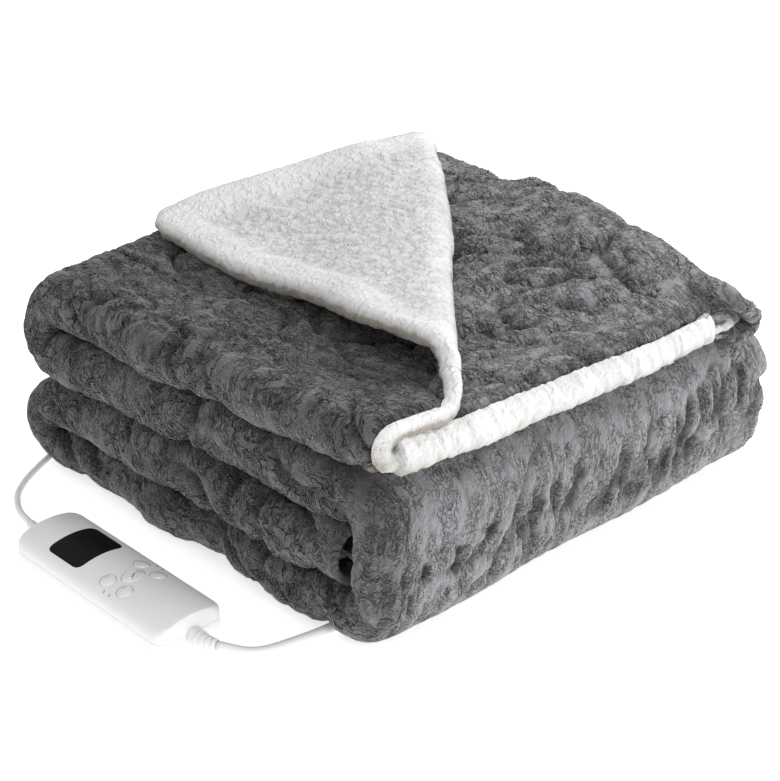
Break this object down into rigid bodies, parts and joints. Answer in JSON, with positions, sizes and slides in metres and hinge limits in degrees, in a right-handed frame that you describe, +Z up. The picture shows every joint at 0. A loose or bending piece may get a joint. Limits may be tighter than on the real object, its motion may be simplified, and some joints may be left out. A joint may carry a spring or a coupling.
{
  "type": "folded electric heated blanket with handset",
  "caption": "Folded plush electric blanket with a fleece lining and one corner turned back, beside its handset with display and push keys, its cords, coil and plug.",
  "frame": {"origin": "middle of the flat underside of the folded blanket, on the surface it lies on", "axes": "+Z up; +X from the blanket's rolled left side, beside which the handset lies, to its right side; +Y from its front fold to its back folds"},
  "size_m": [0.596, 0.421, 0.2124],
  "materials": {
    "plush_grey": "deep grey plush with a short crushed pile",
    "fleece_white": "white curly fleece",
    "housing_white": "satin moulded plastic",
    "display_black": "smooth black window",
    "key_white": "satin",
    "cord_white": "smooth, slightly glossy",
    "fitting_white": "satin",
    "pin_metal": "polished"
  },
  "bodies": {
    "throw": {"blanket_face": "plush_grey", "blanket_lining": "fleece_white", "blanket_socket": "fitting_white", "lead_coupler": "fitting_white", "handset_top": "housing_white", "handset_bottom": "housing_white", "handset_display": "display_black", "lead_relief": "cord_white", "mains_relief": "cord_white", "lead_cord": "cord_white", "mains_cord": "cord_white", "mains_coil": "cord_white", "plug_relief": "cord_white", "plug_body": "fitting_white", "plug_pin_1": "pin_metal", "plug_pin_2": "pin_metal"},
    "centre_key": {"key_centre": "key_white"},
    "first_key": {"key_1": "key_white"},
    "second_key": {"key_2": "key_white"},
    "third_key": {"key_3": "key_white"},
    "fourth_key": {"key_4": "key_white"}
  },
  "joints": [
    {"name": "centre_key_press", "type": "slide", "parent": "throw", "child": "centre_key", "axis": [0, 0, -1], "range_m": [0, 0.0006], "stiffness_N_per_m": 2500},
    {"name": "first_key_press", "type": "slide", "parent": "throw", "child": "first_key", "axis": [0, 0, -1], "range_m": [0, 0.0006], "stiffness_N_per_m": 2500},
    {"name": "second_key_press", "type": "slide", "parent": "throw", "child": "second_key", "axis": [0, 0, -1], "range_m": [0, 0.0006], "stiffness_N_per_m": 2500},
    {"name": "third_key_press", "type": "slide", "parent": "throw", "child": "third_key", "axis": [0, 0, -1], "range_m": [0, 0.0006], "stiffness_N_per_m": 2500},
    {"name": "fourth_key_press", "type": "slide", "parent": "throw", "child": "fourth_key", "axis": [0, 0, -1], "range_m": [0, 0.0006], "stiffness_N_per_m": 2500}
  ]
}
